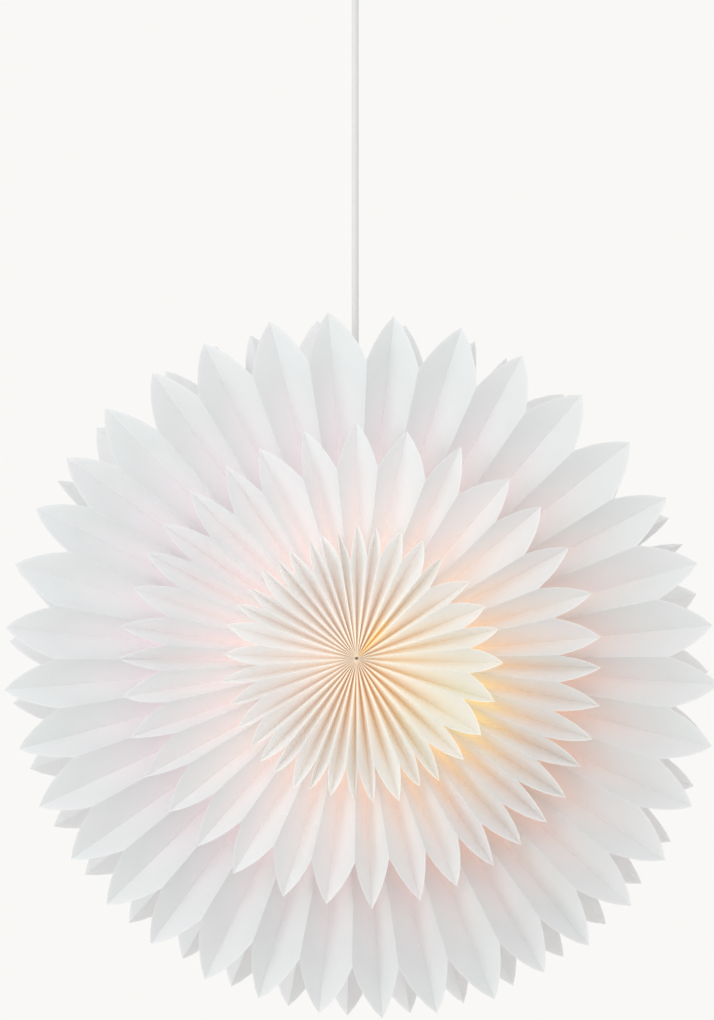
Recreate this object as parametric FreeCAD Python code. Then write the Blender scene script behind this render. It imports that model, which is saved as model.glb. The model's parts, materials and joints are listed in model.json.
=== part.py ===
"""Pleated paper star pendant: a double-sided star of fan-pleated paper rosettes on a cord.

Millimetres, +Z up, the front of the star faces -Y. The origin is on the ceiling, on the
cord's axis. The star is six closed fan-pleated rosettes, three on each side of a hollow
middle, threaded on one rod. A flat steel strap rises from the rod to the cord clamp, and a
bracket on the strap carries the lampholder beside the rod.
"""
import FreeCAD
import Part
import math
import os

V = FreeCAD.Vector
os.makedirs("parts", exist_ok=True)

# ---- star ----
drop = 650.0  # ceiling to the star's centre
leaves = 36  # points on every rosette
paper = 0.4  # paper thickness
foldLean = 2.0  # largest doubling of the paper along Y, where the pleats are pressed together
glueLine = 0.1  # left between a pleat's edge and the card it is glued to
cavity = 68.0  # clear depth between the two large cards

# Tip radius, depth of the leaf's cut, pleat width, hub hole radius, and the angle of the first
# fold. The pleats aren't spread evenly by hand: push is how far they are moved round, in
# degrees, once round (cosine, sine) and twice round (cosine, sine).
large = dict(tip=300.0, cut=41.0, pleat=30.0, hub=8.0, first=2.0, push=(4.2, 0.0, 1.8, 0.4))
medium = dict(tip=204.0, cut=33.0, pleat=26.0, hub=11.0, first=-1.9, push=(5.4, 2.4, 4.0, 4.6))
small = dict(tip=117.0, cut=22.0, pleat=21.0, hub=3.5, first=7.8, push=(0.0, -8.6, 0.0, -5.7))
# the rear large rosette was spread by hand too: its leaves lie behind the front ones at the top
# and between them below, and crowd together in four places
rearLarge = dict(large, first=4.5, push=(4.2, 2.5, 1.8, 0.4), crowds=(21.0, 65.5, 112.0, 151.0))
crowdPull = 0.6  # share of the way to a crowd's middle that the leaves nearest it move
crowdReach = 13.0  # how far round a crowd the leaves are moved, in degrees
stationShare = (0.22, 0.58)  # where a pleat's facets break, as a share of hub to leaf root
ogive = 0.55  # straight share of the leaf's cut edge, the rest is its curve

# ---- hub ----
largeCard = dict(radius=46.0, thick=2.0)
mediumCard = dict(radius=38.0, thick=2.0)
smallCard = dict(radius=29.0, thick=1.5)
rodRadius = 2.0
rodHole = 2.2
spacerRadius = 10.0
sleeveRadius = 5.5
washerRadius = 6.0
washerThick = 1.0
nutFlats = 7.0
nutThick = 3.2
rodProud = 1.5  # rod beyond its nut

threadClear = 0.02  # a nut's bore round its thread
screwClear = 0.1  # a hole round the screw or nipple that passes through it
tightClear = 0.05  # a hole round a rivet, or round a screw that bites in it
edgeBreak = 1.0  # a small chamfer

# ---- strap and lamp bracket ----
strapThick = 2.0
strapFront = 8.0  # the strap's front face, behind the cord's plane
strapHalf = 8.0
strapFoot = 15.0  # radius of the strap's foot round the rod
lampOut = 80.0  # lampholder's axis beside the cord's axis
armTop = 64.0  # top of the lamp bracket's arm, above the star's centre
armThick = 2.0
armHalfDepth = 10.0
armEnd = 13.0  # arm beyond the lampholder's axis
armCorner = 6.0
tabHigh = 28.0
rivetRadius = 2.0
rivetHead = 3.5
rivetHeadThick = 1.0
rivetHeights = (10.0, 20.0)  # above the arm

# ---- cord ----
cordRadius = 3.0
cordClear = 0.4  # round the cord in a bore it slides or swings in
gripClear = 0.05  # round the cord in a clamp
coreRadius = 0.9
coreOffset = 1.3  # core's axis from the cord's axis
clampTop = 246.0  # cord clamp's top above the star's centre
clampHigh = 20.0
clampHalfWide = 10.0
clampSplit = 0.2  # each half stops short of the cord's mid-plane by this
clampFrontThick = 6.5
clampScrewOut = 6.5
clampScrewRadius = 1.5
clampHeadRadius = 2.6
clampHeadThick = 1.8
clampCorner = 2.0
screwProud = 1.0  # a clamp screw beyond the strap
swingAbove = 1.0  # the cord's bending point above the clamp, where the star swings
endGap = 0.3  # between the hanging cord's rounded end and the lead below it
stripped = 1.0  # sheath beyond the ceiling clamp, where the cores come out
coreGap = 0.5  # between a sheath's end and its cores
coreInBlock = 6.0  # length of a ceiling core inside the terminal block
leadTop = clampTop + swingAbove - cordRadius - endGap
# the lead inside the star, from inside the clamp down to the lampholder: (x, z) from the centre
innerRoute = ((0.0, leadTop), (0.0, 176.0), (lampOut, 140.0), (lampOut, 58.0))

# ---- lampholder and bulb: heights are from the star's centre ----
nippleRadius = 5.0
nippleTop = 74.0
nippleFoot = 57.0
lockNutFlats = 14.0
lockNutThick = 3.0
holderRadius = 13.5
holderWall = 1.5
capShoulder = 8.5  # radius of the lampholder cap's top
capFoot = 46.0
capSlope = 8.0  # height of the cap's sloping shoulder
capRoof = 5.0  # thickness of the cap round the nipple
skirtCollar = 3.0  # skirt's collar inside the cap
slipFit = 0.1  # between the lampholder's pieces
skirtFoot = 4.0
ledgeHigh = 30.0
ledgeThick = 2.0
ledgeInner = 9.6
insertThick = 10.0
coreClear = 0.2  # round a core in its hole
holderScrewOut = 5.0  # terminal screws from the lampholder's axis
holderScrewLong = 6.0
leadSpread = 4.5  # cores from the lampholder's axis where they enter its ceramic core
shellInner = 7.2
shellWall = 0.4
shellFoot = 8.0
tongueRadius = 2.2
bulbCapRadius = 6.9
bulbCapFoot = 5.0
bulbCapTop = 24.0
bulbCapSlope = 3.0
bulbTip = 26.0
tipRadius = 2.4
globeRadius = 22.5
globeCentre = -32.0
globeSteps = 9
globeCut = -14.0  # where the globe meets the bulb's housing
housingTop = 5.0
housingNeck = 8.0

# ---- ceiling fitting: heights are from the ceiling ----
slotSpacing = 58.0
slotLong = 9.0
slotHalf = 2.25
slotEdge = 2.5  # metal beyond a slot's end
bracketWide = 18.0
bracketThick = 1.5
bracketCorner = 3.0
supplyHole = 5.0  # the house cable's way down, beside the centre
supplyOut = 14.0
legFace = 9.9  # cord-side face of the bracket's leg
legBelow = 2.0  # leg beyond the clamp
ceilingClampTop = 22.0
ceilingClampHigh = 14.0
blockTop = 4.0
blockHigh = 13.0
blockFront = -6.0
poleOut = 3.5
poleRadius = 1.6
poleScrewRadius = 1.4
poleScrewEdge = 3.5  # pole screws from the block's top and foot
blockScrewRadius = 1.25
blockHeadRadius = 2.2
blockHeadThick = 1.4
cupTopRadius = 42.0
cupFootRadius = 35.0
cupHigh = 52.0
cupWall = 1.5
cupRound = 9.0
cupGap = 0.2  # cup's rim below the ceiling
stemRadius = 5.6
stemClear = 0.2
collarRadius = 8.0
collarHigh = 14.0
collarNutFlats = 15.0
collarNutThick = 4.0
grubRadius = 1.5

# ---- worked out ----
centre = V(0, 0, -drop)
lampAxis = V(lampOut, 0, -drop)
half = cavity / 2
largeBack = half + largeCard["thick"] + glueLine
mediumCardBack = largeBack + large["pleat"] + foldLean + glueLine
mediumBack = mediumCardBack + mediumCard["thick"] + glueLine
smallCardBack = mediumBack + medium["pleat"] + foldLean + glueLine
smallBack = smallCardBack + smallCard["thick"] + glueLine
bracketLong = slotSpacing + slotLong + 2 * slotEdge
mouth = -(cupHigh + collarHigh)  # lower face of the cup's collar, where the cord comes free


def save(name, *solids):
    shape = solids[0] if len(solids) == 1 else Part.makeCompound(list(solids))
    for solid in shape.Solids:
        if not solid.isValid() or solid.Volume <= 0:
            print("CHECK", name, solid.isValid(), round(solid.Volume, 3))
    shape.exportStep("parts/" + name + ".step")
    print(name, len(shape.Solids), round(shape.Volume / 1000, 3))


def box(x0, x1, y0, y1, z0, z1, at=V(0, 0, 0)):
    return Part.makeBox(x1 - x0, y1 - y0, z1 - z0, at + V(x0, y0, z0))


def rod(radius, start, end):
    return Part.makeCylinder(radius, (end - start).Length, start, end - start)


def ring(outer, inner, start, end):
    return rod(outer, start, end).cut(rod(inner, start, end))


def hexNut(flats, bore, start, end):
    """A hexagon nut from start to end, with a plain bore."""
    along = (end - start).normalize()
    side = V(1, 0, 0) if abs(along.x) < 0.5 else V(0, 1, 0)
    other = along.cross(side)
    reach = flats / math.sqrt(3)
    corners = []
    for i in range(7):
        turn = math.radians(60 * i)
        corners.append(start + side * (reach * math.cos(turn)) + other * (reach * math.sin(turn)))
    prism = Part.Face(Part.makePolygon(corners)).extrude(end - start)
    return prism.cut(rod(bore, start, end))


def turned(profile, at):
    """Revolves a closed (radius, height) outline round the vertical through at."""
    points = [at + V(r, 0, z) for r, z in profile]
    face = Part.Face(Part.makePolygon(points + [points[0]]))
    return face.revolve(at, V(0, 0, 1), 360)


def tube(points, radius):
    """A round cord along straight runs joined by tangent arcs as large as the runs allow."""
    edges = []
    last = points[0]
    for a, b, c in zip(points, points[1:], points[2:]):
        into = (b - a).normalize()
        out = (c - b).normalize()
        turn = into.getAngle(out)
        reach = 0.45 * min((b - a).Length, (c - b).Length)
        bend = reach / math.tan(turn / 2)
        print("  bend radius", round(bend, 1))
        start = b - into * reach
        end = b + out * reach
        inward = (out - into).normalize()
        middle = b + inward * (bend / math.cos(turn / 2) - bend)
        edges.append(Part.LineSegment(last, start).toShape())
        edges.append(Part.Arc(start, middle, end).toShape())
        last = end
    edges.append(Part.LineSegment(last, points[-1]).toShape())
    path = Part.Wire(edges)
    along = (points[1] - points[0]).normalize()
    section = Part.Wire(Part.makeCircle(radius, points[0], along))
    solid = path.makePipeShell([section], True, False)
    share = solid.Volume / (math.pi * radius**2 * path.Length)
    print("  length", round(path.Length, 1), "volume share", round(share, 4))
    return solid


def foldAngle(tier, k):
    """Where fold k of a rosette lies round the hub, in radians from +X."""
    even = math.pi * k / leaves + math.radians(tier["first"])
    once, onceSine, twice, twiceSine = tier["push"]
    push = once * math.cos(even) + onceSine * math.sin(even)
    push += twice * math.cos(2 * even) + twiceSine * math.sin(2 * even)
    angle = even - math.radians(push)
    for crowd in tier.get("crowds", ()):
        off = math.remainder(angle - math.radians(crowd), 2 * math.pi)
        angle -= crowdPull * off * math.exp(-((off / math.radians(crowdReach)) ** 2))
    return angle


def rosette(tier, back, side):
    """One fan-pleated ring of paper. back is how far its rear folds are from the star's
    middle, and side is -1 in front and +1 behind. Even folds are valleys that run out to the
    leaves' tips, and odd ones are ridges that end at the notches between them."""
    folds = 2 * leaves
    root = tier["tip"] - tier["cut"]
    inner = tier["hub"]
    breaks = [inner] + [inner + (root - inner) * share for share in stationShare]
    middle = back + (tier["pleat"] + foldLean) / 2
    vertices = []

    def depth(k, radius):
        """Half the pleat's depth at a fold, and half the paper's thickness along Y there."""
        pitch = (foldAngle(tier, k + 1) - foldAngle(tier, k - 1)) / 2
        across = 2 * radius * math.sin(pitch / 2)
        deep = math.sqrt(max(tier["pleat"] ** 2 - across**2, 0))
        return deep / 2, min(paper * tier["pleat"] / across, foldLean) / 2

    def foldPoint(k, radius, face):
        deep, thick = depth(k, radius)
        out = middle + (-deep if k % 2 == 0 else deep) + face * thick
        angle = foldAngle(tier, k)
        return V(radius * math.cos(angle), side * out, radius * math.sin(angle)) + centre

    def add(point):
        vertices.append(point)
        return len(vertices) - 1

    grid = {}
    for face in (1, -1):
        for k in range(folds):
            ends = breaks + [tier["tip"] if k % 2 == 0 else root]
            for i, radius in enumerate(ends):
                grid[face, k, i] = add(foldPoint(k, radius, face))
        for k in range(folds):
            # the cut edge's middle, between a tip and a root
            radius = tier["tip"] - tier["cut"] * (ogive / 2 + (1 - ogive) / 4)
            pair = foldPoint(k, radius, face) + foldPoint((k + 1) % folds, radius, face)
            grid[face, k, "edge"] = add(pair * 0.5)

    last = len(breaks)
    facets = []
    for k in range(folds):
        after = (k + 1) % folds
        tip, foot = (k, after) if k % 2 == 0 else (after, k)
        for face in (1, -1):
            sheet = []
            for i in range(last - 1):
                a, b = grid[face, tip, i], grid[face, tip, i + 1]
                c, d = grid[face, foot, i + 1], grid[face, foot, i]
                sheet += [(a, b, c), (a, c, d)]
            a, b = grid[face, tip, last - 1], grid[face, tip, last]
            c, d = grid[face, foot, last], grid[face, foot, last - 1]
            e = grid[face, k, "edge"]
            sheet += [(a, b, e), (a, e, d), (d, e, c)]
            turnOver = (face == 1) == (k % 2 == 0)
            facets += sheet if turnOver else [(p, r, q) for p, q, r in sheet]
        rim = [(tip, last), (k, "edge"), (foot, last)]
        hole = [(foot, 0), (tip, 0)]
        for loop in (rim, hole):
            for (ka, ia), (kb, ib) in zip(loop, loop[1:]):
                a, b = grid[1, ka, ia], grid[1, kb, ib]
                c, d = grid[-1, kb, ib], grid[-1, ka, ia]
                wall = [(a, c, b), (a, d, c)]
                facets += wall if k % 2 == 0 else [(p, r, q) for p, q, r in wall]
    shell = Part.Shape()
    shell.makeShapeFromMesh((vertices, facets), 0.001)
    solid = Part.makeSolid(shell)
    if solid.Volume < 0:
        solid.reverse()
    return solid


def onRod(side, start, end):
    """The two ends of a piece threaded on the hub's rod."""
    return centre + V(0, side * start, 0), centre + V(0, side * end, 0)


def halfStar(side, word):
    for tier, back, name in (
        (large if side < 0 else rearLarge, largeBack, "large"),
        (medium, mediumBack, "medium"),
        (small, smallBack, "small"),
    ):
        save(word + "_" + name + "_rosette", rosette(tier, back, side))
    start, end = onRod(side, half, half + largeCard["thick"])
    save(word + "_large_card", ring(largeCard["radius"], rodHole, start, end))
    start, end = onRod(side, mediumCardBack, mediumCardBack + mediumCard["thick"])
    save(word + "_medium_card", ring(mediumCard["radius"], rodHole, start, end))
    start, end = onRod(side, smallCardBack, smallCardBack + smallCard["thick"])
    save(word + "_small_card", rod(smallCard["radius"], start, end))


def hub():
    strapBack = strapFront + strapThick
    save("front_spacer", ring(spacerRadius, rodHole, *onRod(1, -half, strapFront)))
    save("rear_spacer", ring(spacerRadius, rodHole, *onRod(1, strapBack, half)))
    sleeves, washers, nuts = [], [], []
    under = mediumCardBack + mediumCard["thick"]
    for side in (-1, 1):
        sleeve = onRod(side, half + largeCard["thick"], mediumCardBack)
        sleeves.append(ring(sleeveRadius, rodHole, *sleeve))
        washers.append(ring(washerRadius, rodHole, *onRod(side, under, under + washerThick)))
        seat = under + washerThick
        nuts.append(hexNut(nutFlats, rodRadius + threadClear, *onRod(side, seat, seat + nutThick)))
    reach = under + washerThick + nutThick + rodProud
    save("hub_sleeves", *sleeves)
    save("hub_washers", *washers)
    save("hub_nuts", *nuts)
    save("hub_rod", rod(rodRadius, *onRod(1, -reach, reach)))


def strapAndArm():
    strapBack = strapFront + strapThick
    strap = box(-strapHalf, strapHalf, strapFront, strapBack, 0, clampTop, centre)
    strap = strap.fuse(rod(strapFoot, *onRod(1, strapFront, strapBack)))
    strap = strap.cut(rod(rodHole, *onRod(1, strapFront, strapBack)))
    tabFront = strapFront - armThick
    arm = box(-strapHalf, lampOut + armEnd, -armHalfDepth, strapFront, armTop - armThick, armTop, centre)
    tab = box(-strapHalf, strapHalf, tabFront, strapFront, armTop, armTop + tabHigh, centre)
    arm = arm.fuse(tab)
    hole = rod(nippleRadius + screwClear, lampAxis, lampAxis + V(0, 0, 2 * armTop))
    arm = arm.cut(hole)
    corners = [
        e
        for e in arm.Edges
        if abs(e.tangentAt(e.FirstParameter).z) > 0.99 and e.Vertexes[0].X > lampOut
    ]
    arm = arm.makeFillet(armCorner, corners)
    rivets = []
    for up in rivetHeights:
        at = centre + V(0, tabFront, armTop + up)
        shank = rod(rivetRadius, at, at + V(0, armThick + strapThick, 0))
        strap = strap.cut(rod(rivetRadius + tightClear, at, at + V(0, armThick + strapThick, 0)))
        arm = arm.cut(rod(rivetRadius + tightClear, at, at + V(0, armThick, 0)))
        front = rod(rivetHead, at - V(0, rivetHeadThick, 0), at)
        behind = at + V(0, armThick + strapThick, 0)
        rivets.append(shank.fuse([front, rod(rivetHead, behind, behind + V(0, rivetHeadThick, 0))]))
    screws = []
    for sign in (-1, 1):
        level = clampTop - clampHigh / 2
        face = centre + V(sign * clampScrewOut, -clampFrontThick, level)
        tail = centre + V(sign * clampScrewOut, strapBack + screwProud, level)
        strap = strap.cut(rod(clampScrewRadius + screwClear, face, tail))
        head = rod(clampHeadRadius, face - V(0, clampHeadThick, 0), face)
        screws.append(rod(clampScrewRadius, face, tail).fuse(head))
    save("hanger_strap", strap)
    save("lamp_arm", arm)
    save("arm_rivets", *rivets)
    save("cord_clamp_screws", *screws)


def cordClamp():
    """The two plastic halves that grip the cord against the strap."""
    level = clampTop - clampHigh / 2
    groove = rod(cordRadius + gripClear, centre, centre + V(0, 0, clampTop))
    # the mouth is opened out round the cord's rounded end
    mouthFoot = centre + V(0, 0, leadTop)
    groove = groove.fuse(rod(cordRadius + cordClear, mouthFoot, centre + V(0, 0, clampTop)))
    for name, near, far in (
        ("cord_clamp_front", -clampFrontThick, -clampSplit),
        ("cord_clamp_rear", clampSplit, strapFront),
    ):
        block = box(-clampHalfWide, clampHalfWide, near, far, clampTop - clampHigh, clampTop, centre)
        upright = [
            e
            for e in block.Edges
            if abs(e.tangentAt(e.FirstParameter).z) > 0.99
            and abs(abs(e.Vertexes[0].Y) - clampFrontThick) < 0.01
        ]
        if upright:
            block = block.makeFillet(clampCorner, upright)
        block = block.cut(groove)
        for sign in (-1, 1):
            start = centre + V(sign * clampScrewOut, -clampFrontThick, level)
            end = centre + V(sign * clampScrewOut, strapFront, level)
            block = block.cut(rod(clampScrewRadius + screwClear, start, end))
        save(name, block)


def cords():
    bend = centre + V(0, 0, clampTop + swingAbove)
    hanging = rod(cordRadius, V(0, 0, mouth), bend)
    save("hanging_cord", hanging.fuse(Part.makeSphere(cordRadius, bend)))
    top = V(0, 0, -ceilingClampTop + stripped)
    save("ceiling_cord", rod(cordRadius, V(0, 0, mouth), top))
    save("inner_cord", tube([centre + V(x, 0, z) for x, z in innerRoute], cordRadius))
    leads = []
    for sign in (-1, 1):
        start = lampAxis + V(sign * coreOffset, 0, innerRoute[-1][1] - coreGap)
        end = lampAxis + V(sign * leadSpread, 0, ledgeHigh + insertThick / 2)
        leads.append(rod(coreRadius, start, end))
    save("lampholder_leads", *leads)
    leads = []
    blockFoot = -(blockTop + blockHigh)
    for sign in (-1, 1):
        along = [
            top + V(0, sign * coreOffset, coreGap),
            V(0, sign * poleOut, blockFoot + coreGap),
            V(0, sign * poleOut, blockFoot + coreInBlock),
        ]
        leads.append(tube(along, coreRadius))
    save("ceiling_leads", *leads)


def lampholder():
    foot = lampAxis + V(0, 0, nippleFoot)
    top = lampAxis + V(0, 0, nippleTop)
    save("threaded_nipple", ring(nippleRadius, cordRadius + cordClear, foot, top))
    seat = lampAxis + V(0, 0, armTop)
    nut = hexNut(lockNutFlats, nippleRadius + threadClear, seat, seat + V(0, 0, lockNutThick))
    save("nipple_nut", nut)
    capTop = armTop - armThick
    neck = nippleRadius + threadClear
    inside = holderRadius - holderWall
    cap = [
        (neck, capTop),
        (capShoulder, capTop),
        (holderRadius - edgeBreak, capTop - capSlope / 2),
        (holderRadius, capTop - capSlope),
        (holderRadius, capFoot),
        (inside, capFoot),
        (inside, capTop - capSlope),
        (capShoulder - edgeBreak, capTop - capRoof),
        (neck, capTop - capRoof),
    ]
    save("lampholder_cap", turned(cap, lampAxis))
    collar = inside - slipFit
    ledge = ledgeHigh - ledgeThick
    skirt = [
        (inside, skirtFoot),
        (holderRadius, skirtFoot),
        (holderRadius, capFoot - slipFit),
        (collar, capFoot - slipFit),
        (collar, capFoot + skirtCollar),
        (collar - edgeBreak, capFoot + skirtCollar),
        (collar - edgeBreak, ledgeHigh),
        (ledgeInner, ledgeHigh),
        (ledgeInner, ledge),
        (inside, ledge),
    ]
    save("lampholder_skirt", turned(skirt, lampAxis))
    insertFoot = lampAxis + V(0, 0, ledgeHigh)
    insertTop = lampAxis + V(0, 0, ledgeHigh + insertThick)
    insert = rod(collar - edgeBreak - slipFit, insertFoot, insertTop)
    screws = []
    for sign in (-1, 1):
        face = insertTop + V(0, sign * holderScrewOut, 0)
        tip = face - V(0, 0, holderScrewLong)
        insert = insert.cut(rod(clampScrewRadius + tightClear, tip, face))
        head = rod(clampHeadRadius, face, face + V(0, 0, clampHeadThick))
        screws.append(rod(clampScrewRadius, tip, face).fuse(head))
        # the core's hole follows the slant of the lead that comes down from the cord
        start = lampAxis + V(sign * coreOffset, 0, innerRoute[-1][1])
        end = lampAxis + V(sign * leadSpread, 0, ledgeHigh + insertThick / 2)
        along = (end - start).normalize()
        insert = insert.cut(rod(coreRadius + coreClear, start, end + along * coreClear))
    save("lampholder_core", insert)
    save("lampholder_terminal_screws", *screws)
    shellFace = lampAxis + V(0, 0, shellFoot)
    save("screw_shell", ring(shellInner + shellWall, shellInner, shellFace, insertFoot))
    tongue = lampAxis + V(0, 0, bulbTip + slipFit)
    save("centre_contact", rod(tongueRadius, tongue, insertFoot))


def bulb():
    neck = math.sqrt(globeRadius**2 - (globeCut - globeCentre) ** 2)
    # the globe's outline, from its lowest point round to its neck in short straight steps
    last = math.pi - math.atan2(neck, globeCut - globeCentre)
    outline = []
    for i in range(globeSteps + 1):
        turn = last * i / globeSteps
        outline.append((globeRadius * math.sin(turn), globeCentre - globeRadius * math.cos(turn)))
    save("bulb_globe", turned(outline + [(0, globeCut)], lampAxis))
    housing = [(0, globeCut), (neck, globeCut), (housingNeck, housingTop), (0, housingTop)]
    save("bulb_housing", turned(housing, lampAxis))
    cap = [
        (0, bulbCapFoot),
        (bulbCapRadius, bulbCapFoot),
        (bulbCapRadius, bulbCapTop - bulbCapSlope),
        (tipRadius + edgeBreak, bulbCapTop),
        (0, bulbCapTop),
    ]
    save("bulb_screw_cap", turned(cap, lampAxis))
    save("bulb_tip", rod(tipRadius, lampAxis + V(0, 0, bulbCapTop), lampAxis + V(0, 0, bulbTip)))


def ceilingBracket():
    plate = box(-bracketLong / 2, bracketLong / 2, -bracketWide / 2, bracketWide / 2, -bracketThick, 0)
    corners = [e for e in plate.Edges if abs(e.tangentAt(e.FirstParameter).z) > 0.99]
    plate = plate.makeFillet(bracketCorner, corners)
    for sign in (-1, 1):
        straight = slotLong / 2 - slotHalf
        x = sign * slotSpacing / 2
        slot = box(x - straight, x + straight, -slotHalf, slotHalf, -bracketThick, 0)
        for end in (x - straight, x + straight):
            slot = slot.fuse(rod(slotHalf, V(end, 0, -bracketThick), V(end, 0, 0)))
        plate = plate.cut(slot)
    plate = plate.cut(rod(supplyHole, V(-supplyOut, 0, -bracketThick), V(-supplyOut, 0, 0)))
    legFoot = -(ceilingClampTop + ceilingClampHigh + legBelow)
    leg = box(legFace, legFace + bracketThick, -bracketWide / 2, bracketWide / 2, legFoot, -bracketThick)
    middle = -(blockTop + blockHigh / 2)
    seat = V(legFace + bracketThick, 0, middle)
    leg = leg.cut(rod(blockScrewRadius + screwClear, V(legFace, 0, middle), seat))
    bracket = plate.fuse(leg)
    level = -(ceilingClampTop + ceilingClampHigh / 2)
    face = -clampFrontThick
    screws = []
    for sign in (-1, 1):
        start = V(face, sign * clampScrewOut, level)
        end = V(legFace + bracketThick, sign * clampScrewOut, level)
        bracket = bracket.cut(rod(clampScrewRadius + screwClear, start, end))
        head = rod(clampHeadRadius, start - V(clampHeadThick, 0, 0), start)
        screws.append(rod(clampScrewRadius, start, end).fuse(head))
    save("mounting_bracket", bracket)
    save("ceiling_clamp_screws", *screws)
    low, high = -(ceilingClampTop + ceilingClampHigh), -ceilingClampTop
    groove = rod(cordRadius + gripClear, V(0, 0, low), V(0, 0, high))
    for name, near, far in (
        ("ceiling_clamp_bar", face, -clampSplit),
        ("ceiling_clamp_body", clampSplit, legFace),
    ):
        block = box(near, far, -bracketWide / 2, bracketWide / 2, low, high).cut(groove)
        for sign in (-1, 1):
            start = V(face, sign * clampScrewOut, level)
            block = block.cut(rod(clampScrewRadius + screwClear, start, V(legFace, start.y, level)))
        save(name, block)


def terminalBlock():
    top = -blockTop
    foot = top - blockHigh
    block = box(blockFront, legFace, -bracketWide / 2, bracketWide / 2, foot, top)
    screws = []
    for sign in (-1, 1):
        y = sign * poleOut
        block = block.cut(rod(poleRadius, V(0, y, foot), V(0, y, top)))
        for level in (top - poleScrewEdge, foot + poleScrewEdge):
            front = V(blockFront, y, level)
            block = block.cut(rod(poleScrewRadius + tightClear, front, V(0, y, level)))
            screws.append(rod(poleScrewRadius, front, V(-coreRadius - slipFit, y, level)))
    middle = (top + foot) / 2
    tip = V(legFace / 2, 0, middle)
    seat = V(legFace + bracketThick, 0, middle)
    fixing = rod(blockScrewRadius, tip, seat)
    fixing = fixing.fuse(rod(blockHeadRadius, seat, seat + V(blockHeadThick, 0, 0)))
    block = block.cut(rod(blockScrewRadius + tightClear, tip, V(legFace, 0, middle)))
    save("terminal_block", block)
    save("terminal_screws", *screws)
    save("terminal_block_screw", fixing)


def ceilingCup():
    inner = stemRadius + stemClear
    foot = -cupHigh
    inside = cupFootRadius - cupWall
    bulge = 1 - math.sqrt(3) / 2  # a quarter round in three straight steps
    outline = [
        (inner, foot),
        (cupFootRadius - cupRound, foot),
        (cupFootRadius - cupRound / 2, foot + cupRound * bulge),
        (cupFootRadius - cupRound * bulge, foot + cupRound / 2),
        (cupFootRadius, foot + cupRound),
        (cupTopRadius, -cupGap),
        (cupTopRadius - cupWall, -cupGap),
        (inside, foot + cupRound),
        (inside - cupRound / 4, foot + cupWall + cupRound / 5),
        (cupFootRadius - cupRound, foot + cupWall),
        (inner, foot + cupWall),
    ]
    save("ceiling_cup", turned(outline, V(0, 0, 0)))
    bore = cordRadius + cordClear
    stemTop = foot + cupWall + collarNutThick + edgeBreak
    collar = [
        (bore, mouth),
        (collarRadius - edgeBreak, mouth),
        (collarRadius, mouth + edgeBreak),
        (collarRadius, foot),
        (stemRadius, foot),
        (stemRadius, stemTop),
        (bore, stemTop),
    ]
    collar = turned(collar, V(0, 0, 0))
    level = (mouth + foot) / 2
    tip = V(cordRadius + endGap, 0, level)
    end = V(collarRadius, 0, level)
    collar = collar.cut(rod(grubRadius + tightClear, tip, end))
    save("cup_collar", collar)
    save("cup_grub_screw", rod(grubRadius, tip, end))
    seat = V(0, 0, foot + cupWall)
    nut = hexNut(collarNutFlats, stemRadius + threadClear, seat, seat + V(0, 0, collarNutThick))
    save("cup_collar_nut", nut)


halfStar(-1, "front")
halfStar(1, "rear")
hub()
strapAndArm()
cordClamp()
cords()
lampholder()
bulb()
ceilingBracket()
terminalBlock()
ceilingCup()
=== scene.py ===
import json
import math
import random

import bpy
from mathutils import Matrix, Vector


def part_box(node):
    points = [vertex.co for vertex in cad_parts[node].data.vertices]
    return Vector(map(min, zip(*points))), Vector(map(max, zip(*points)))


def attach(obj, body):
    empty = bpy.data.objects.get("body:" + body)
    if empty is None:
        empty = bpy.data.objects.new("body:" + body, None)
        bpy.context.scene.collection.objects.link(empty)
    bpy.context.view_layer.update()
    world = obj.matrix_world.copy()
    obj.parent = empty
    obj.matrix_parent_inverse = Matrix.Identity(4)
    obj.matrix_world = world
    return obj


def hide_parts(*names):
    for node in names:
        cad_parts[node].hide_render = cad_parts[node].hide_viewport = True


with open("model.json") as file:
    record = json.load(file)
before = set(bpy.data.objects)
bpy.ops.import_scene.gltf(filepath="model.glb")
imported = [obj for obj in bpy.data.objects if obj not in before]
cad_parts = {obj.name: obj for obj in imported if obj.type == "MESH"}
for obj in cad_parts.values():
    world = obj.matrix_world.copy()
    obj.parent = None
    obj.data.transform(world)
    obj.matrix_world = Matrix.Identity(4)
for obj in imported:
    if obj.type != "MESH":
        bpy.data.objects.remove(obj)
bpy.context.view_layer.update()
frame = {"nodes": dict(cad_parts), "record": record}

nodes = frame["nodes"]
starCentre = Vector((0.0, 0.0, -0.65))
print("frame loaded,", len(nodes), "nodes")


# the camera comes first
shot = {
    "azimuth": -0.6,  # degrees round from the star's front
    "elevation": -3.0,  # the camera looks up a little
    "distance": 5.0,
    "lens": 206.0,
    "aimUp": 0.1303,  # above the star's centre
    "aimRight": 0.0015,
}


def makeCamera():
    turn = math.radians(shot["azimuth"])
    rise = math.radians(shot["elevation"])
    back = Vector((math.sin(turn) * math.cos(rise), -math.cos(turn) * math.cos(rise), math.sin(rise)))
    aim = starCentre + Vector((shot["aimRight"], 0.0, shot["aimUp"]))
    data = bpy.data.cameras.new("camera")
    data.lens = shot["lens"]
    camera = bpy.data.objects.new("camera", data)
    bpy.context.scene.collection.objects.link(camera)
    camera.location = aim + back * shot["distance"]
    camera.rotation_mode = "QUATERNION"
    camera.rotation_quaternion = (-back).to_track_quat("-Z", "Y")
    bpy.context.scene.camera = camera


makeCamera()


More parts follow.
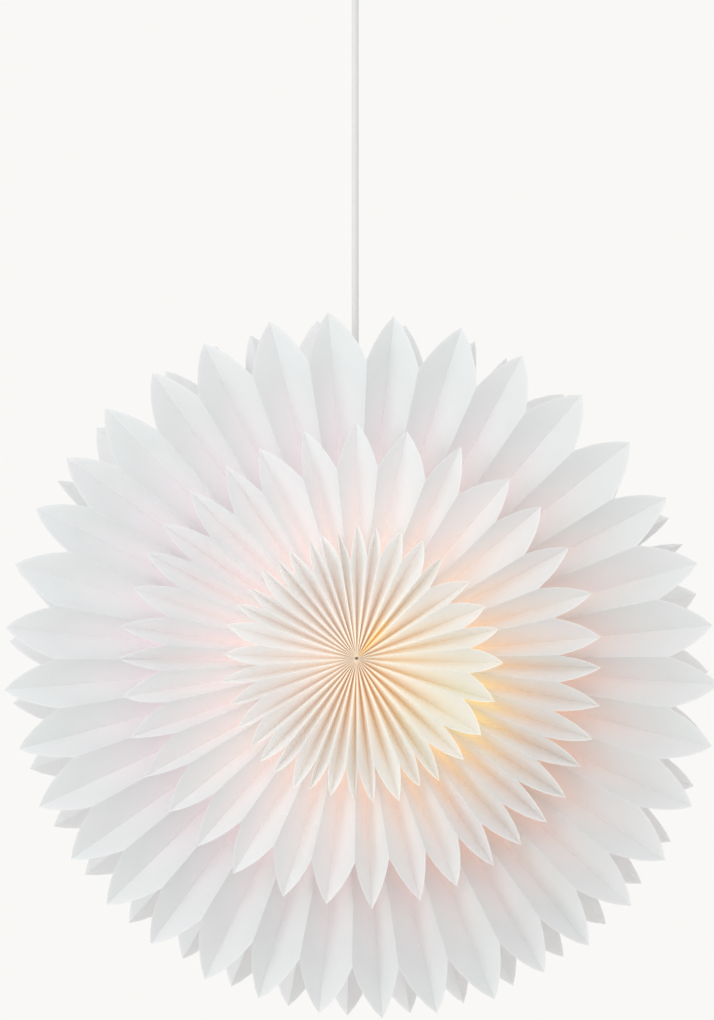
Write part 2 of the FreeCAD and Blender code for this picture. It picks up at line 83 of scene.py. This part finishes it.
class Wire:
    # one output of a node; arithmetic on it adds Math nodes
    def __init__(self, finish, socket):
        self.finish, self.socket = finish, socket

    def maths(self, operation, first, second):
        return self.finish.add("ShaderNodeMath", {"operation": operation}, {0: first, 1: second})

    def __add__(self, other):
        return self.maths("ADD", self, other)

    __radd__ = __add__

    def __mul__(self, other):
        return self.maths("MULTIPLY", self, other)

    __rmul__ = __mul__

    def __sub__(self, other):
        return self.maths("SUBTRACT", self, other)

    def __rsub__(self, other):
        return self.maths("SUBTRACT", other, self)

    def __truediv__(self, other):
        return self.maths("DIVIDE", self, other)

    def __pow__(self, other):
        return self.maths("POWER", self, other)

    def __rpow__(self, other):
        return self.maths("POWER", other, self)


class Finish:
    # a material, or the world, built from nodes
    def __init__(self, owner):
        self.owner = owner
        owner.use_nodes = True
        self.tree = owner.node_tree
        self.tree.nodes.clear()
        self.place = self.add("ShaderNodeTexCoord", {}, {}, "Object")

    def add(self, kind, settings, inputs, output=0):
        # settings go in before the sockets are filled, because some of them change the sockets
        node = self.tree.nodes.new(kind)
        for key, value in settings.items():
            setattr(node, key, value)
        for key, value in inputs.items():
            if isinstance(value, Wire):
                self.tree.links.new(value.socket, node.inputs[key])
            else:
                node.inputs[key].default_value = value
        return Wire(self, node.outputs[output])

    def noise(self, scale, detail, stretch=None):
        place = self.place
        if stretch:
            place = self.add("ShaderNodeMapping", {}, {0: place, 3: stretch})
        return self.add("ShaderNodeTexNoise", {}, {"Vector": place, "Scale": scale, "Detail": detail}, "Fac")

    def mix(self, share, first, second):
        # colours, so it goes through a Mix node
        ends = [(*end, 1.0) if isinstance(end, tuple) else end for end in (first, second)]
        return self.add("ShaderNodeMix", {"data_type": "RGBA"}, {0: share, 6: ends[0], 7: ends[1]}, 2)

    def tint(self, colour, share):
        # multiplies a colour by a number
        return self.mix(share, (0.0, 0.0, 0.0), colour)

    def split(self, vector):
        node = self.add("ShaderNodeSeparateXYZ", {}, {0: vector}).socket.node
        return [Wire(self, output) for output in node.outputs]

    def absolute(self, value):
        return self.add("ShaderNodeMath", {"operation": "ABSOLUTE"}, {0: value})

    def fade(self, value, full, gone):
        # 1 up to one value, falling to 0 at the other
        return self.add("ShaderNodeMapRange", {}, {0: value, 1: full, 2: gone, 3: 1.0, 4: 0.0})

    def whole(self, value):
        return self.add("ShaderNodeMath", {"operation": "FLOOR"}, {0: value})

    def bump(self, height, strength, distance):
        return self.add("ShaderNodeBump", {}, {"Height": height, "Strength": strength, "Distance": distance})

    def finish(self, surface, kind="ShaderNodeOutputMaterial"):
        out = self.tree.nodes.new(kind)
        self.tree.links.new(surface.socket, out.inputs["Surface"])
        return self.owner


# the lamp's light in the star's paper, painted on: as emission, and as painted shade and light in the
# paper's colour
glow = {
    "x": 0.090, "z": -0.690,  # where the lamp shows through the star
    "reach": 0.100,  # how far round it the painted lamp light reaches
    "core": 0.028,  # how far round it the painted glow turns yellow
    "coreColour": (1.0, 0.80, 0.30),
    "paintedFoldShadeFar": (0.68, 0.58, 0.55),  # painted shade: the narrow folds at the hub are painted grey away from the lamp
    "paintedFoldShadeNear": (0.78, 0.46, 0.17),  # and painted amber with its light near it
    "foldSharp": 1.5,
    "levelFold": 0.08,  # share of a fold's painted shade that is left where the fold lies level
    "beside": (0.75, 0.45),  # nearness to the lamp where a fold's painted shade is amber, and where it is grey
    "wedgeAngle": 49.0,  # painted light: one open fold beside the hub lets more light through, painted amber into the paper's colour
    "wedgeWidth": 6.5,
    "paintedWedgeColour": (0.96, 0.80, 0.40),
    "wedgeFade": (0.20, 0.45),  # shares of a pleat's length between which it dies away
    "wedgeRidge": 0.5,  # its strength on a ridge
    "knot": 0.35,  # share of the painted light lost where the folds are drawn together
    "knotFade": (0.03, 0.20),
    "paintedLampWarmth": (0.93, 0.81, 0.74),  # painted lamp light and shade: paper near the lamp, behind the next rosette's edge, painted warm and brownish
    "warmFade": (0.60, 0.95),
    "rim": 0.982,  # share of a pleat's length where a painted highlight on its cut edge begins
    "rimLight": 0.12,
    "rimFar": 0.3,  # the painted rim highlight's share far from the lamp
    "valleyLoss": 0.7,  # how much less a valley's colour tells at the leaf's tip than at the hub
}
look = {
    "cloudScale": 22.0,
    "fibreScale": 420.0,
    "fibreStretch": (1.0, 1.0, 3.0),
    "fibreColour": (0.82, 0.82, 0.83),
    "fibreShare": 0.10,
    "pink": (0.925, 0.905, 0.915),  # the paper clouds between these two
    "green": (0.895, 0.925, 0.915),
    "tipShare": 0.35,  # what turns it green: the way out to the tip,
    "pleatShare": 0.3,  # the luck of the pleat
    "cloudShare": 0.6,  # and the clouds
    "pinker": 0.12,
    "rough": 0.85,
    "specular": 0.2,
    "through": 0.4,  # share of light that goes through the sheet
    "cloudHeight": 0.6,
    "fibreHeight": 0.4,
    "bump": 0.25,
    "bumpDepth": 0.002,
}


def starPaper(name, lit):
    f = Finish(bpy.data.materials.new(name))
    where = f.split(f.place)
    out, up = where[0], where[2] - starCentre.z
    away = (where[0] - glow["x"]) ** 2.0 + (where[2] - glow["z"]) ** 2.0
    near = math.e ** (away * (-0.5 / glow["reach"] ** 2))
    core = math.e ** (away * (-0.5 / glow["core"] ** 2))
    upright = f.absolute(up) / (out * out + up * up) ** 0.5
    sheet = f.split(f.add("ShaderNodeTexCoord", {}, {}, "UV"))
    pleat, along = sheet[0] * (2.0 * star["leaves"]), sheet[1]
    # 1 in a pleat's valley and 0 on its ridge
    valley = 1.0 - f.add("ShaderNodeMath", {"operation": "PINGPONG"}, {0: pleat, 1: 1.0})
    dice = f.add("ShaderNodeTexWhiteNoise", {"noise_dimensions": "1D"}, {"W": f.whole(pleat)}, "Value")
    cloud = f.noise(look["cloudScale"], 3.0)
    fibre = f.noise(look["fibreScale"], 4.0, stretch=look["fibreStretch"])
    mottle = along * look["tipShare"] + dice * look["pleatShare"]
    mottle = mottle + cloud * look["cloudShare"] - look["pinker"]
    tone = f.mix(mottle, look["pink"], look["green"])
    tone = f.mix(fibre * look["fibreShare"], tone, look["fibreColour"])
    hubness = f.fade(along, 0.0, lit["foldEnd"])
    level = glow["levelFold"]
    # painted shade: the narrow folds near the hub are darkened in the paper's colour, grey away from the
    # lamp and amber near it
    foldShadeMask = valley ** glow["foldSharp"] * hubness * (level + (1.0 - level) * upright)
    beside = f.fade(near, *glow["beside"])
    tone = f.mix(foldShadeMask * lit["paintedFoldShade"], tone, f.mix(beside, glow["paintedFoldShadeFar"], glow["paintedFoldShadeNear"]))
    # painted light: an amber wedge in the paper's colour where one open fold lets the lamp shine through
    turned = f.add("ShaderNodeMath", {"operation": "ARCTAN2"}, {0: up, 1: out})
    turned = turned - math.radians(glow["wedgeAngle"])
    paintedWedgeLight = math.e ** (turned * turned * (-0.5 / math.radians(glow["wedgeWidth"]) ** 2))
    ridge = glow["wedgeRidge"]
    paintedWedgeLight = paintedWedgeLight * f.fade(along, *glow["wedgeFade"]) * lit["paintedWedgeLight"] * (ridge + (1.0 - ridge) * valley)
    tone = f.mix(paintedWedgeLight, tone, glow["paintedWedgeColour"])
    # painted lamp light: paper near the lamp, behind the next rosette's edge, is painted warmer and browner
    tone = f.mix(near * lit["paintedWarmth"] * f.fade(along, *glow["warmFade"]), tone, glow["paintedLampWarmth"])

    # painted highlight along each pleat's cut edge, given as emission
    edge = 1.0 - f.fade(along, glow["rim"], 1.0)
    # painted light: the paper glows by its own emission in place of the lamp's light coming through it
    strength = lit["hub"] * f.fade(along, 0.0, lit["dark"])
    # painted light: at the hub the ridges are painted shining and the folds between them dark; further out
    # the valleys are painted glowing
    ridges = hubness * upright * lit["ridgeShare"] - lit["valleyShare"]
    strength = strength * (1.0 + ridges * (1.0 - 2.0 * valley))
    strength = strength * (1.0 - glow["knot"] * f.fade(along, *glow["knotFade"]))
    strength = strength * (1.0 + core * lit["core"]) + edge * (glow["rimFar"] + near) * glow["rimLight"]
    deep = valley * (1.0 - along * glow["valleyLoss"])
    far = f.mix(deep, lit["farRidge"], lit["farValley"])
    close = f.mix(deep, lit["nearRidge"], lit["nearValley"])
    light = f.mix(core, f.mix(near, far, close), glow["coreColour"])
    height = cloud * look["cloudHeight"] + fibre * look["fibreHeight"]
    surface = f.add("ShaderNodeBsdfPrincipled", {}, {
        "Base Color": tone, "Roughness": look["rough"], "Specular IOR Level": look["specular"],
        "Emission Color": f.tint(light, strength), "Emission Strength": 1.0,
        "Normal": f.bump(height, look["bump"], look["bumpDepth"]),
    })
    through = f.add("ShaderNodeBsdfTranslucent", {}, {0: tone})
    return f.finish(f.add("ShaderNodeMixShader", {}, {0: look["through"], 1: surface, 2: through}))


star = {
    "leaves": 36,
    "paper": 0.0003,
    "acrossPleat": 4,  # faces across one pleat
    "alongPleat": 16,
    "flattest": 0.22,  # least depth of a pleat, as a share of its width
    "bow": 0.0010,  # how far a pleat's face bulges between its folds
    "bows": (-0.4, 1.3),  # least and most of it, as shares
    "curl": 0.0022,  # how far the end of a fold may stand forward or back
    "leanHub": 0.7,  # share of a fold's stray that it has at the hub
    "leanRim": 0.3,  # and what comes to it on the way out
    "merge": 0.00002,
    "crease": 12,  # degrees over which two faces meet in a sharp edge
    "seed": 7,
    "rearSeed": 11,
}
# tip radius, depth of the leaf's cut, pleat width, hub radius and first fold; how far the folds
# are pushed round, in degrees, and the tips stand out, in metres: once round (cosine, sine) and
# twice round (cosine, sine); how far a fold may stray, as a share of a pleat, and a tip be out
tiers = {
    "large": dict(tip=0.301, cut=0.042, pleat=0.030, hub=0.008, first=2.0, push=(4.2, 0.0, 1.8, 0.4),
                  oval=(0.0042, -0.0025, 0.0010, -0.0054), stray=0.12, uneven=0.0018, pointed=0.60),
    "medium": dict(tip=0.204, cut=0.039, pleat=0.026, hub=0.011, first=-1.9, push=(5.4, 2.4, 4.0, 4.6),
                   oval=(0.0037, -0.0053, 0.0, 0.0), stray=0.22, uneven=0.0022, pointed=0.72),
    "small": dict(tip=0.116, cut=0.028, pleat=0.021, hub=0.0015, first=7.8, push=(0.0, -8.6, 0.0, -5.7),
                  oval=(0.0039, -0.0046, 0.0, 0.0), stray=0.42, uneven=0.0035, pointed=0.75),
}
# the rear large rosette's leaves show between the front ones below, and crowd together in places
rearLarge = dict(tiers["large"], first=4.5, push=(4.2, 2.5, 1.8, 0.4), crowds=(21.0, 65.5, 112.0, 151.0))
crowd = {"pull": 0.6, "reach": 13.0}
# light from inside, painted on the paper as emission: its strength at the hub, the share of a pleat where it
# has died away, and its colour on ridges and in valleys, far from the lamp and near it; the last keys set
# the painted fold shade, painted wedge light and painted lamp warmth in the paper's colour
litPaper = {
    "large": dict(hub=0.42, dark=0.88, farRidge=(1.0, 0.80, 0.92), farValley=(1.0, 0.68, 0.76),
                  nearRidge=(1.0, 0.55, 0.34), nearValley=(1.0, 0.42, 0.16),
                  valleyShare=0.25, ridgeShare=0.0, foldEnd=0.5, paintedFoldShade=0.0,
                  core=0.0, paintedWedgeLight=0.0, paintedWarmth=0.72),
    "medium": dict(hub=0.38, dark=1.10, farRidge=(1.0, 0.82, 0.82), farValley=(1.0, 0.72, 0.68),
                   nearRidge=(1.0, 0.72, 0.48), nearValley=(1.0, 0.56, 0.22),
                   valleyShare=0.25, ridgeShare=0.0, foldEnd=0.5, paintedFoldShade=0.0,
                   core=0.15, paintedWedgeLight=0.0, paintedWarmth=0.2),
    "small": dict(hub=0.27, dark=1.60, farRidge=(1.0, 0.87, 0.82), farValley=(1.0, 0.76, 0.68),
                  nearRidge=(1.0, 0.82, 0.50), nearValley=(1.0, 0.58, 0.20),
                  valleyShare=0.05, ridgeShare=0.6, foldEnd=0.8, paintedFoldShade=0.70,
                  core=0.0, paintedWedgeLight=1.0, paintedWarmth=0.0),
}


def foldAngle(tier, k):
    even = math.pi * k / star["leaves"] + math.radians(tier["first"])
    once, onceSine, twice, twiceSine = tier["push"]
    push = once * math.cos(even) + onceSine * math.sin(even)
    push += twice * math.cos(2 * even) + twiceSine * math.sin(2 * even)
    angle = even - math.radians(push)
    for middle in tier.get("crowds", ()):
        off = math.remainder(angle - math.radians(middle), 2 * math.pi)
        angle -= crowd["pull"] * off * math.exp(-((off / math.radians(crowd["reach"])) ** 2))
    return angle


def foldSpan(tier, k):
    return (foldAngle(tier, k + 1) - foldAngle(tier, k - 1)) / 2


def tipOut(tier, k):
    angle = foldAngle(tier, k)
    once, onceSine, twice, twiceSine = tier["oval"]
    out = once * math.cos(angle) + onceSine * math.sin(angle)
    return out + twice * math.cos(2 * angle) + twiceSine * math.sin(2 * angle)


def rosette(name, tier, side, paper):
    folds = 2 * star["leaves"]
    dice = random.Random(star["seed"] + len(name) + (star["rearSeed"] if side > 0 else 0))
    low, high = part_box(name)
    middle = (low.y + high.y) / 2 - starCentre.y
    # every fold is a little out of place, as hand-folded paper is
    lean = [dice.uniform(-1, 1) * tier["stray"] * foldSpan(tier, k) for k in range(folds)]
    reach = [dice.uniform(-1, 1) * tier["uneven"] + tipOut(tier, k) for k in range(folds)]
    curl = [dice.uniform(-1, 1) * star["curl"] for _ in range(folds)]
    bulge = [dice.uniform(*star["bows"]) * star["bow"] for _ in range(folds)]

    def foldPoint(k, radius):
        across = 2 * radius * math.sin(foldSpan(tier, k) / 2)
        deep = math.sqrt(max(tier["pleat"] ** 2 - across**2, (star["flattest"] * tier["pleat"]) ** 2))
        share = radius / tier["tip"]
        out = -deep / 2 if k % 2 == 0 else deep / 2  # even folds are valleys
        out += curl[k % folds] * share**3
        angle = foldAngle(tier, k) + lean[k % folds] * (star["leanHub"] + star["leanRim"] * share)
        return Vector((radius * math.cos(angle), middle + side * out, radius * math.sin(angle)))

    def sheetPoint(k, t, share):
        valley, ridge = (k, k + 1) if k % 2 == 0 else (k + 1, k)
        w = t if k % 2 == 0 else 1 - t  # 0 at the leaf's tip, in its valley, and 1 at a notch
        tip = tier["tip"] + reach[valley % folds]
        foot = tier["tip"] - tier["cut"] + reach[ridge % folds]
        end = tip - (tip - foot) * (tier["pointed"] * w + (1 - tier["pointed"]) * w * w)
        radius = tier["hub"] + (end - tier["hub"]) * share
        a, b = foldPoint(k, radius), foldPoint(k + 1, radius)
        point = a.lerp(b, t)
        face = (b - a).cross(point - Vector((0, middle, 0))).normalized()
        swell = bulge[k % folds] * math.sin(math.pi * t) * (radius / tier["tip"])
        return point + face * swell

    columns, rows = folds * star["acrossPleat"], star["alongPleat"]
    bpy.ops.object.select_all(action="DESELECT")
    bpy.ops.mesh.primitive_grid_add(x_subdivisions=columns, y_subdivisions=rows, size=1.0, calc_uvs=True)
    sheet = bpy.context.object
    sheet.name = sheet.data.name = name + "_paper"
    for vertex in sheet.data.vertices:
        column = round((vertex.co.x + 0.5) * columns)
        k = min(column // star["acrossPleat"], folds - 1)
        t = column / star["acrossPleat"] - k
        share = vertex.co.y + 0.5
        vertex.co = starCentre + sheetPoint(k, t, share)
    bpy.ops.object.mode_set(mode="EDIT")
    bpy.ops.mesh.select_all(action="SELECT")
    bpy.ops.mesh.remove_doubles(threshold=star["merge"])
    bpy.ops.mesh.normals_make_consistent(inside=False)
    bpy.ops.object.mode_set(mode="OBJECT")
    if sheet.data.polygons[0].normal.y * side < 0:
        sheet.data.flip_normals()
    thicken = sheet.modifiers.new("paper", "SOLIDIFY")
    thicken.thickness = star["paper"]
    thicken.offset = 0.0
    bpy.ops.object.modifier_apply(modifier=thicken.name)
    bpy.ops.object.shade_smooth_by_angle(angle=math.radians(star["crease"]))
    sheet.data.materials.append(paper)
    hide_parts(name)
    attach(sheet, "star")


papers = {name: starPaper("paper_" + name, lit) for name, lit in litPaper.items()}
for side, word in ((-1, "front"), (1, "rear")):
    for name, tier in tiers.items():
        own = rearLarge if (side, name) == (1, "large") else tier
        rosette(word + "_" + name + "_rosette", own, side, papers[name])
print("rosettes made")


# the cord hangs taut from the cup's collar to the clamp in the star
cord = {
    "diameter": 0.006,
    "route": [(0, 0, -0.066), (0, 0, -0.102), (0, 0, -0.235), (0, 0, -0.368), (0, 0, -0.4045)],
    "length": 0.3385,
    "roundness": 6,
}
surfaces = {
    "cloudScale": 60.0,
    "cloudShade": 0.95,
    "wearScale": 900.0,
    "roughLow": 0.85,  # least roughness, as a share of the finish's own
    "roughSpan": 0.3,
    "bump": 0.2,
}


def plain(name, colour, rough, specular=0.5, metal=0.0, grain=(1.0, 1.0, 1.0), depth=0.0002):
    # a moulded, painted or metal finish: its colour clouds a little and its surface isn't perfect
    f = Finish(bpy.data.materials.new(name))
    cloud = f.noise(surfaces["cloudScale"], 3.0)
    tone = f.mix(cloud, tuple(c * surfaces["cloudShade"] for c in colour), colour)
    wear = f.noise(surfaces["wearScale"], 2.0, stretch=grain)
    roughness = rough * surfaces["roughLow"] + surfaces["roughSpan"] * rough * wear
    return f.finish(f.add("ShaderNodeBsdfPrincipled", {}, {
        "Base Color": tone, "Roughness": roughness, "Specular IOR Level": specular,
        "Metallic": metal, "Normal": f.bump(wear, surfaces["bump"], depth),
    }))


def hangingCord(finish):
    curve = bpy.data.curves.new("cord_flex", "CURVE")
    curve.dimensions = "3D"
    spline = curve.splines.new("NURBS")
    spline.points.add(len(cord["route"]) - 1)
    for point, place in zip(spline.points, cord["route"]):
        point.co = (*place, 1.0)
    spline.order_u = 3
    spline.use_endpoint_u = True
    curve.bevel_depth = cord["diameter"] / 2
    curve.bevel_resolution = cord["roundness"]
    curve.use_fill_caps = True
    flex = bpy.data.objects.new("cord_flex", curve)
    bpy.context.scene.collection.objects.link(flex)
    curve.materials.append(finish)
    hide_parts("hanging_cord")
    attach(flex, "cord")


bulb = {
    "glass": ((0.95, 0.88, 0.72), (0.97, 0.92, 0.80)),  # it clouds between these two
    "light": ((1.0, 0.78, 0.45), (1.0, 0.82, 0.50)),
    "cloudScale": 30.0,
    "rough": 0.35,
    "strength": 3.0,
}


def bulbGlass():
    f = Finish(bpy.data.materials.new("opal_bulb"))
    cloud = f.noise(bulb["cloudScale"], 2.0)
    return f.finish(f.add("ShaderNodeBsdfPrincipled", {}, {
        "Base Color": f.mix(cloud, *bulb["glass"]), "Roughness": bulb["rough"],
        "Emission Color": f.mix(cloud, *bulb["light"]), "Emission Strength": bulb["strength"],
    }))


finishes = {
    "star_paper": papers["large"],
    "hub_card": plain("hub_card", (0.80, 0.78, 0.73), 0.85, specular=0.2),
    "white_plastic": plain("white_plastic", (0.86, 0.86, 0.84), 0.35),
    "cord_sheath": plain("cord_sheath", (0.74, 0.735, 0.72), 0.5, grain=(1.0, 1.0, 0.2), depth=0.00002),
    "steel": plain("steel", (0.62, 0.62, 0.63), 0.32, metal=1.0, grain=(1.0, 1.0, 0.08)),
    "white_metal": plain("white_metal", (0.84, 0.84, 0.83), 0.3),
    "brass": plain("brass", (0.78, 0.60, 0.30), 0.28, metal=1.0),
    "core_insulation": plain("core_insulation", (0.30, 0.20, 0.14), 0.45),
    "opal_bulb": bulbGlass(),
    "ceramic": plain("ceramic", (0.88, 0.87, 0.84), 0.2),
    "aluminium": plain("aluminium", (0.78, 0.78, 0.79), 0.3, metal=1.0),
}
for part in frame["record"]["subparts"]:
    mesh = nodes[part["node"]].data
    mesh.materials.clear()
    mesh.materials.append(finishes[part["material_slot"]])
hangingCord(finishes["cord_sheath"])
print("cord and finishes made")


# floor, backdrop and light
room = {
    "floor": -2.4,  # height of the floor
    "span": 30.0,
    "backdrop": (0.947, 0.939, 0.922),
    "sky": (0.985, 0.98, 1.0),
    "skyStrength": 0.92,
    "floorShades": ((0.86, 0.855, 0.84), (0.88, 0.875, 0.86)),
    "floorScale": 3.0,
    "floorRough": 0.9,
    "floorSpecular": 0.1,
}
lamps = {
    "keyLamp": dict(place=(-3.3, -2.4, -0.8), size=2.0, power=31.0, colour=(0.94, 0.99, 1.0)),
    "topLamp": dict(place=(-0.1, -1.7, 0.8), size=1.2, power=5.0, colour=(0.94, 1.0, 1.0)),
    "rearLamp": dict(place=(1.5, 3.4, 1.2), size=2.5, power=8.0, colour=(1.0, 1.0, 1.0)),
}


def seenDirectly(f):
    rays = f.add("ShaderNodeLightPath", {}, {}).socket.node.outputs
    seen = [Wire(f, rays[name]) for name in ("Is Camera Ray", "Is Glossy Ray", "Is Transmission Ray")]
    return f.add("ShaderNodeMath", {"operation": "MAXIMUM"}, {
        0: f.add("ShaderNodeMath", {"operation": "MAXIMUM"}, {0: seen[0], 1: seen[1]}), 1: seen[2]})


def makeRoom():
    bpy.ops.object.select_all(action="DESELECT")
    bpy.ops.mesh.primitive_plane_add(size=room["span"], location=(0, 0, room["floor"]))
    floor = bpy.context.object
    floor.name = "floor"
    f = Finish(bpy.data.materials.new("floor"))
    speck = f.noise(room["floorScale"], 2.0)
    floor.data.materials.append(f.finish(f.add("ShaderNodeBsdfPrincipled", {}, {
        "Base Color": f.mix(speck, *room["floorShades"]), "Roughness": room["floorRough"],
        "Specular IOR Level": room["floorSpecular"],
    })))

    f = Finish(bpy.data.worlds.new("room"))
    soft = f.add("ShaderNodeBackground", {}, {0: (*room["sky"], 1.0), 1: room["skyStrength"]})
    shown = f.add("ShaderNodeBackground", {}, {0: (*room["backdrop"], 1.0), 1: 1.0})
    mixed = f.add("ShaderNodeMixShader", {}, {0: seenDirectly(f), 1: soft, 2: shown})
    bpy.context.scene.world = f.finish(mixed, "ShaderNodeOutputWorld")


def lamp(name, place, size, power, colour):
    data = bpy.data.lights.new(name, "AREA")
    data.shape = "DISK"
    data.size, data.energy, data.color = size, power, colour
    made = bpy.data.objects.new(name, data)
    bpy.context.scene.collection.objects.link(made)
    made.location = place
    made.rotation_mode = "QUATERNION"
    made.rotation_quaternion = (starCentre - Vector(place)).to_track_quat("-Z", "Y")


makeRoom()
for name, values in lamps.items():
    lamp(name, **values)
bpy.context.scene.view_settings.view_transform = "Standard"
print("room made")
